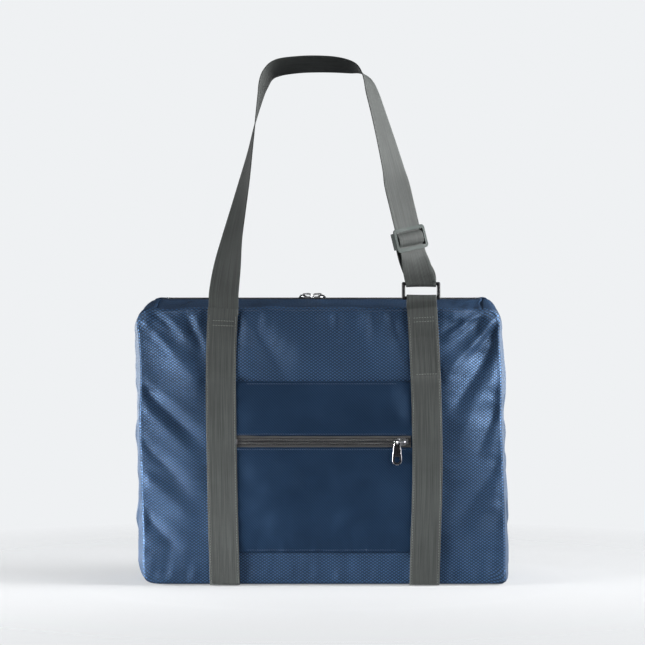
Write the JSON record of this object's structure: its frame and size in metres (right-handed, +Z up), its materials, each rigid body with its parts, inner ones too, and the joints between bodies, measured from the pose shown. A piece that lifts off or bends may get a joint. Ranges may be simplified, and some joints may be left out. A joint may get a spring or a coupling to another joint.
{
  "type": "foldable tote bag",
  "caption": "Foldable nylon travel tote with a zipped top, gusseted sides, a zipped front pocket it packs into, sewn webbing and an adjustable shoulder strap.",
  "frame": {"origin": "on the surface the bag stands on, under the middle of its width and of its depth at the seams", "axes": "+X to the right of the bag seen from its pocket side, +Y from the pocket face to the back, +Z up"},
  "size_m": [0.476, 0.2019, 0.669],
  "materials": {
    "shell_fabric": "glossy navy diamond ripstop nylon",
    "pocket_fabric": "satin navy fine-weave nylon",
    "binding": "matte dark bias tape",
    "webbing": "satin grey ribbed webbing",
    "zip_tape": "matte dark grey woven tape",
    "zip_coil": "black nylon coil",
    "zip_metal": "polished nickel",
    "glide_plastic": "grey-green moulded plastic",
    "ring_metal": "black lacquered wire"
  },
  "bodies": {
    "bag": {"front_panel": "shell_fabric", "side_gusset_left": "shell_fabric", "side_gusset_right": "shell_fabric", "bottom_panel": "shell_fabric", "top_gusset_front": "shell_fabric", "top_gusset_rear": "shell_fabric", "zip_end_tab_left": "shell_fabric", "zip_end_tab_right": "shell_fabric", "front_seam_binding": "binding", "pocket_lining": "pocket_fabric", "pocket_panel_upper": "pocket_fabric", "pocket_panel_lower": "pocket_fabric", "pocket_zip_tape_upper": "zip_tape", "pocket_zip_tape_lower": "zip_tape", "pocket_zip_coil_upper": "zip_coil", "pocket_zip_coil_lower": "zip_coil", "pocket_zip_stops": "zip_metal", "webbing_front_left": "webbing", "webbing_front_right": "webbing", "webbing_base_left": "webbing", "webbing_base_right": "webbing"},
    "zip_line": {"main_zip_tape_front": "zip_tape", "main_zip_tape_rear": "zip_tape", "main_zip_coil_front": "zip_coil", "main_zip_coil_rear": "zip_coil", "main_zip_stops": "zip_metal"},
    "back": {"back_panel": "shell_fabric", "rear_seam_binding": "binding", "webbing_back_left": "webbing", "webbing_back_right": "webbing"},
    "main_slider_left": {"main_slider_left": "zip_metal"},
    "main_pull_left": {"main_pull_left": "zip_metal"},
    "main_slider_right": {"main_slider_right": "zip_metal"},
    "main_pull_right": {"main_pull_right": "zip_metal"},
    "pocket_slider": {"pocket_slider": "zip_metal"},
    "pocket_pull": {"pocket_pull": "zip_metal"},
    "shoulder_strap": {"shoulder_strap": "webbing", "strap_tail": "webbing"},
    "ring": {"strap_ring": "ring_metal"},
    "tri_glide": {"tri_glide": "glide_plastic", "strap_end_loop": "webbing"}
  },
  "joints": [
    {"name": "flatten", "type": "slide", "parent": "bag", "child": "zip_line", "axis": [0, -1, 0], "range_m": [0, 0.055], "deforming": ["side_gusset_left", "side_gusset_right", "bottom_panel", "top_gusset_front", "top_gusset_rear", "zip_end_tab_left", "zip_end_tab_right", "webbing_base_left", "webbing_base_right"]},
    {"name": "flatten_back", "type": "slide", "parent": "zip_line", "child": "back", "axis": [0, -1, 0], "range_m": [0, 0.055]},
    {"name": "main_slide_left", "type": "slide", "parent": "zip_line", "child": "main_slider_left", "axis": [-1, 0, 0], "range_m": [0, 0.173]},
    {"name": "main_pull_swing_left", "type": "hinge", "parent": "main_slider_left", "child": "main_pull_left", "pos_m": [-0.02475, 0, 0.3689], "axis": [0, 0.1219, 0.9925], "range_deg": [-8, 85]},
    {"name": "main_slide_right", "type": "slide", "parent": "zip_line", "child": "main_slider_right", "axis": [1, 0, 0], "range_m": [0, 0.198]},
    {"name": "main_pull_swing_right", "type": "hinge", "parent": "main_slider_right", "child": "main_pull_right", "pos_m": [-0.00065, 0, 0.3689], "axis": [0, -0.1219, -0.9925], "range_deg": [-8, 85]},
    {"name": "pocket_slide", "type": "slide", "parent": "bag", "child": "pocket_slider", "axis": [1, 0, 0], "range_m": [-0.199, 0]},
    {"name": "pocket_pull_swing", "type": "hinge", "parent": "pocket_slider", "child": "pocket_pull", "pos_m": [0.09455, -0.103, 0.183], "axis": [0, 1, 0], "range_deg": [-40, 85]},
    {"name": "strap_swing", "type": "hinge", "parent": "bag", "child": "shoulder_strap", "pos_m": [0, -0.0857, 0.3645], "axis": [1, 0, 0], "range_deg": [-65, 150]},
    {"name": "ring_pivot", "type": "hinge", "parent": "bag", "child": "ring", "pos_m": [0.1255, -0.0857, 0.3645], "axis": [1, 0, 0], "range_deg": [-65, 150]},
    {"name": "triglide_slide", "type": "slide", "parent": "shoulder_strap", "child": "tri_glide", "axis": [-0.2334, 0, 0.9724], "range_m": [0, 0.05], "deforming": ["strap_tail"]}
  ],
  "couplings": [
    {"joint": "flatten_back", "follows": "flatten", "ratio": 1},
    {"joint": "ring_pivot", "follows": "strap_swing", "ratio": 1}
  ]
}
